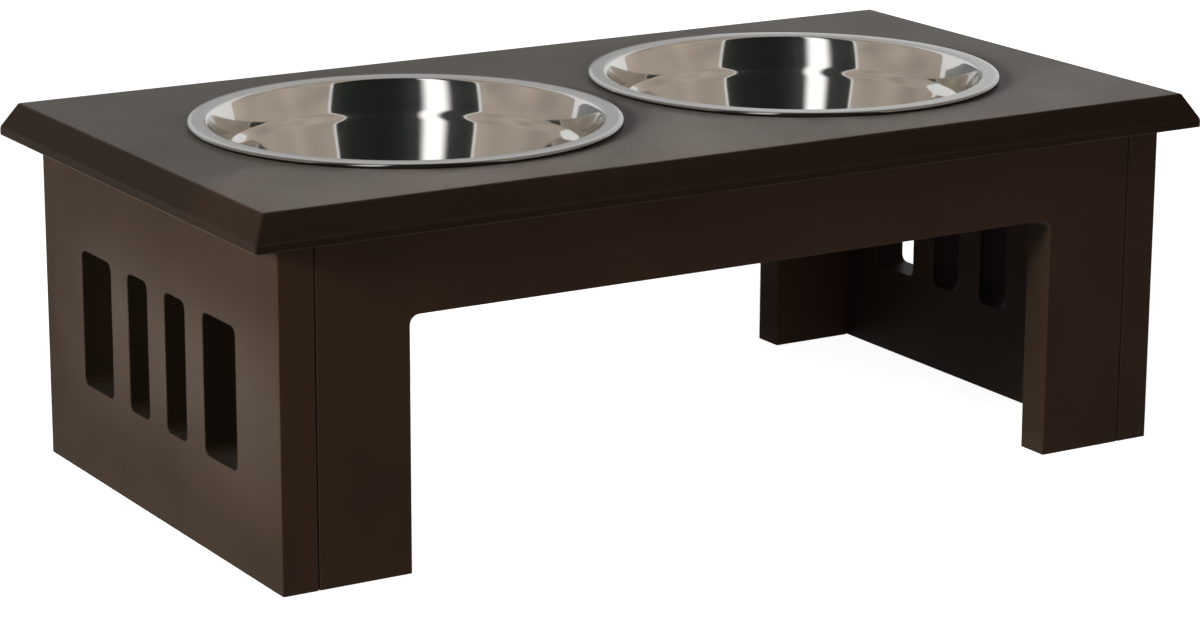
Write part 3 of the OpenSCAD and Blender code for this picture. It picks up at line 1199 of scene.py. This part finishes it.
@dataclass(frozen=True)
class StudioFloor(Finish):
    """Matt white studio floor, white to the camera and in reflections, with the stand's shadow."""

    name: str = "matt_white_floor"
    # Its tone to the light that it sends back up to the stand
    white: str = "#8c8c8c"
    # To the camera: a glow, and the tone that takes the stand's shadow
    glow: float = 0.92
    shaded: str = "#e0e0e0"
    # In reflections
    mirrored: float = 0.85

    def shader(self, tree: Tree) -> Socket:
        """Draws the floor, which is clear from below so that the underside can be looked at.

        Args:
            tree: The material's node tree.

        Returns:
            The floor's shader.
        """
        paint, shade = (
            add_node(tree, "BsdfDiffuse", {"Color": linear(tone)})[0]
            for tone in (self.white, self.shaded)
        )
        glow, mirrored = (
            add_node(tree, "Emission", {"Strength": level})[0]
            for level in (self.glow, self.mirrored)
        )
        white = add_node(tree, "AddShader", {0: shade, 1: glow})[0]
        shown = add_node(tree, "LightPath")["Is Camera Ray"]
        faced = add_node(tree, "MixShader", {0: shown, 1: mirrored, 2: white})[0]
        top = add_node(tree, "MixShader", {0: seen(tree), 1: paint, 2: faced})[0]
        clear = add_node(tree, "BsdfTransparent")[0]
        below = add_node(tree, "NewGeometry")["Backfacing"]
        return add_node(tree, "MixShader", {0: below, 1: top, 2: clear})[0]


@dataclass(frozen=True)
class ScreenCloth(Finish):
    """Cloth of a studio screen, seen in reflections alone."""

    colour: str = WHITE
    level: float = 1.0
    # Size of the soft folds, in metres, and how much brighter and darker they are
    fold: float = 0.9
    fold_depth: float = 0.2

    def shader(self, tree: Tree) -> Socket:
        """Draws the cloth as a glow that varies a little with its folds.

        Args:
            tree: The material's node tree.

        Returns:
            The cloth's shader.
        """
        place = add_node(tree, "TexCoord")["Object"]
        soft = {"Vector": place, "Scale": 1 / self.fold, "Detail": 1.0}
        folds = add_node(tree, "TexNoise", soft)[0]
        span = {3: (1 - self.fold_depth) * self.level, 4: (1 + self.fold_depth) * self.level}
        glow = add_node(tree, "MapRange", {0: folds, **NOISE_SPAN, **span})[0]
        return add_node(tree, "Emission", {"Color": linear(self.colour), "Strength": glow})[0]


@dataclass(frozen=True)
class StripCloth(ScreenCloth):
    """Cloth of a lit strip, which fades out towards its upright edges."""

    # All three in degrees round the stand
    middle: float = 0.0
    core: float = 4.0
    edge: float = 11.0

    def shader(self, tree: Tree) -> Socket:
        """Draws the cloth as a glow that is brightest down its middle.

        Args:
            tree: The material's node tree.

        Returns:
            The cloth's shader.
        """
        place = add_node(tree, "TexCoord")["Object"]
        # The strip's middle turns to the X axis, where the angle is zero
        turn = (0, 0, math.radians(90 - self.middle))
        turned = add_node(tree, "Mapping", {"Vector": place, "Rotation": turn})[0]
        sides = add_node(tree, "SeparateXYZ", {0: turned})
        angle = add_node(tree, "Math", {0: sides["Y"], 1: sides["X"]}, operation="ARCTAN2")[0]
        away = add_node(tree, "Math", {0: angle}, operation="ABSOLUTE")[0]
        fade = {1: math.radians(self.core), 2: math.radians(self.edge), 3: self.level, 4: 0.0}
        glow = add_node(tree, "MapRange", {0: away, **fade}, **SMOOTH)[0]
        return add_node(tree, "Emission", {"Color": linear(self.colour), "Strength": glow})[0]


@dataclass
class Screen:
    """A curved studio screen round the stand, which only polished and glossy surfaces show."""

    cloth: ScreenCloth
    # Where it starts and ends, in degrees round the stand
    start: float
    end: float
    # Reach from the stand and height of the screen's foot, its head and any fold between
    outline: tuple[tuple[float, float], ...] = ((2.0, 0.25), (2.0, 5.0), (0.05, 5.0))
    steps: int = 24

    def build(self) -> Piece:
        """Builds the screen.

        Returns:
            The screen.
        """
        bm = bmesh.new()
        out = towards(self.start, 0)
        post = [bm.verts.new(out * reach + Vector((0, 0, z))) for reach, z in self.outline]
        edges = [bm.edges.new(pair) for pair in zip(post, post[1:])]
        bmesh.ops.spin(
            bm,
            geom=post + edges,
            cent=(0, 0, 0),
            axis=(0, 0, 1),
            angle=math.radians(self.end - self.start),
            steps=self.steps,
            use_merge=False,
        )
        screen = as_object(bm, self.cloth.name)
        dress(screen, self.cloth)
        screen.visible_camera = False
        screen.visible_diffuse = False
        screen.visible_transmission = False
        screen.visible_shadow = False
        return screen


@dataclass
class Lamp:
    """A soft box that faces the stand, with or without a grid that narrows its beam."""

    name: str
    azimuth: float
    elevation: float
    distance: float
    width: float
    height: float
    # What it adds to a white card that faces it at the target, or less of it behind a grid
    level: float
    colour: str = WHITE
    # How far the beam fans out, in degrees
    beam: float = 180
    target: tuple[float, float, float] = (0, 0, 0.08)

    def build(self) -> Piece:
        """Hangs the soft box.

        Returns:
            The lamp.
        """
        light = bpy.data.lights.new(self.name, "AREA")
        light.shape = "RECTANGLE"
        light.size, light.size_y = self.width, self.height
        light.color = linear(self.colour)[:3]
        light.spread = math.radians(self.beam)
        # A narrow beam gathers the lamp's light, so its energy comes down by as much
        half = light.spread / 2
        gathered = math.tan(half) / (math.tan(half) - half)
        light.energy = self.level * (math.pi * self.distance) ** 2 / gathered
        lamp = bpy.data.objects.new(self.name, light)
        target = Vector(self.target)
        lamp.matrix_world = aimed(target, self.azimuth, self.elevation, self.distance)
        lamp.visible_camera = False
        lamp.visible_glossy = False
        bpy.context.scene.collection.objects.link(lamp)
        return lamp


@dataclass
class Camera:
    """The camera, at the photograph's angle."""

    azimuth: float = -31.32
    elevation: float = 14.92
    roll: float = 0.25
    distance: float = 1.58945
    target: Vector = field(default_factory=lambda: Vector((-0.00204, 0, 0.05944)))
    # Focal length and width of the photograph, in pixels, and width of the sensor, in millimetres
    focal: float = 3775.22
    image_width: float = 1200
    sensor: float = 36
    nearest: float = 0.05

    def build(self) -> Piece:
        """Sets the camera up and makes it the scene's own.

        Returns:
            The camera.
        """
        data = bpy.data.cameras.new("camera")
        data.sensor_fit = "HORIZONTAL"
        data.sensor_width = self.sensor
        data.lens = self.focal / self.image_width * self.sensor
        data.clip_start = self.nearest
        camera = bpy.data.objects.new("camera", data)
        camera.matrix_world = aimed(
            self.target, self.azimuth, self.elevation, self.distance, self.roll
        )
        bpy.context.scene.collection.objects.link(camera)
        bpy.context.scene.camera = camera
        return camera


@dataclass
class Studio:
    """A white studio: floor, even world light, soft boxes with and without grids, and screens."""

    floor_half: float = 6.0
    floor_drop: float = 0.3 * MM
    world_level: float = 0.07
    lamps: tuple[Lamp, ...] = (
        Lamp(
            "left_soft_box", azimuth=-78, elevation=19, distance=1.7,
            width=0.35, height=0.35, level=1.13, colour="#f0fff5",
        ),
        # Two narrow beams: one on the left panel's slots, one along the front of the top
        Lamp(
            "left_strip_box", azimuth=-100, elevation=16, distance=0.6, width=0.18, height=0.02,
            level=11.0, colour="#bae9ff", beam=9, target=(-0.206, -0.02, 0.07),
        ),
        Lamp(
            "top_strip_box", azimuth=-90, elevation=10, distance=1.0, width=0.03, height=0.03,
            level=2.1, beam=7, target=(-0.04, -0.09, 0.15),
        ),
        Lamp(
            "front_soft_box", azimuth=0, elevation=10, distance=1.0,
            width=0.4, height=0.4, level=0.25,
        ),
        Lamp(
            "rear_soft_box", azimuth=128, elevation=3, distance=1.6,
            width=0.3, height=0.3, level=0.33,
        ),
    )
    # The bowls' walls show a black band with a white strip in it, and warm grey beside it
    screens: tuple[Screen, ...] = (
        Screen(
            ScreenCloth("black_screen", "#1f2420"), start=-77, end=18,
            outline=((0.4, 0.002), (2.0, 0.002), (2.0, 5.0), (0.05, 5.0)),
        ),
        Screen(
            StripCloth("white_strip", level=1.8, middle=-50), start=-64, end=-36,
            outline=((1.95, 0.25), (1.95, 5.0)),
        ),
        Screen(ScreenCloth("right_screen", "#bcb0a4"), start=20, end=100),
        Screen(ScreenCloth("left_screen", "#bcb0a4"), start=-150, end=-79),
        Screen(
            ScreenCloth("back_screen", "#8a8a8a"), start=146, end=205,
            outline=((2.0, 0.0), (2.0, 0.53)),
        ),
    )

    def build_floor(self) -> Piece:
        """Lays the floor.

        Returns:
            The floor.
        """
        bm = bmesh.new()
        under = Matrix.Translation((0, 0, -self.floor_drop))
        bmesh.ops.create_grid(bm, x_segments=1, y_segments=1, size=self.floor_half, matrix=under)
        floor = as_object(bm, "floor")
        dress(floor, StudioFloor())
        return floor

    def build_world(self) -> bpy.types.World:
        """Lights the room evenly, white to the camera and in reflections.

        Returns:
            The scene's world.
        """
        world = bpy.data.worlds.new("white_room")
        world.use_nodes = True
        tree = world.node_tree
        tree.nodes.clear()
        light, white = (
            add_node(tree, "Background", {"Color": linear(WHITE), "Strength": level})[0]
            for level in (self.world_level, 1.0)
        )
        room = add_node(tree, "MixShader", {0: seen(tree), 1: light, 2: white})[0]
        add_node(tree, "OutputWorld", {"Surface": room})
        bpy.context.scene.world = world
        return world

    def build(self) -> None:
        """Builds the whole studio and sets how its colours are shown."""
        bpy.context.scene.view_settings.view_transform = "Standard"
        self.build_world()
        self.build_floor()
        for part in (*self.lamps, *self.screens):
            part.build()


def main() -> None:
    """Builds the feeder and the studio, piece by piece."""
    logging.basicConfig(level=logging.INFO, format="%(name)s: %(message)s")
    Camera().build()
    paints = SatinPaint(), SoakedPaint()
    steel = PolishedSteel()
    pieces: list[Board | Bowl] = [TopBoard("top_board", *paints)]
    pieces += [SidePanel(f"{side.name.lower()}_side_panel", *paints, side=side) for side in Side]
    pieces += [LegFrame(f"{end.name.lower()}_frame", *paints, end=end) for end in End]
    pieces += [Bowl(side, steel) for side in Side]
    for piece in pieces:
        made = piece.build()
        log.info("%s: %d faces", made.name, len(made.data.polygons))
    for name in Fittings().build():
        log.info("%s: finish only", name)
    Studio().build()


if __name__ == "__main__":
    main()
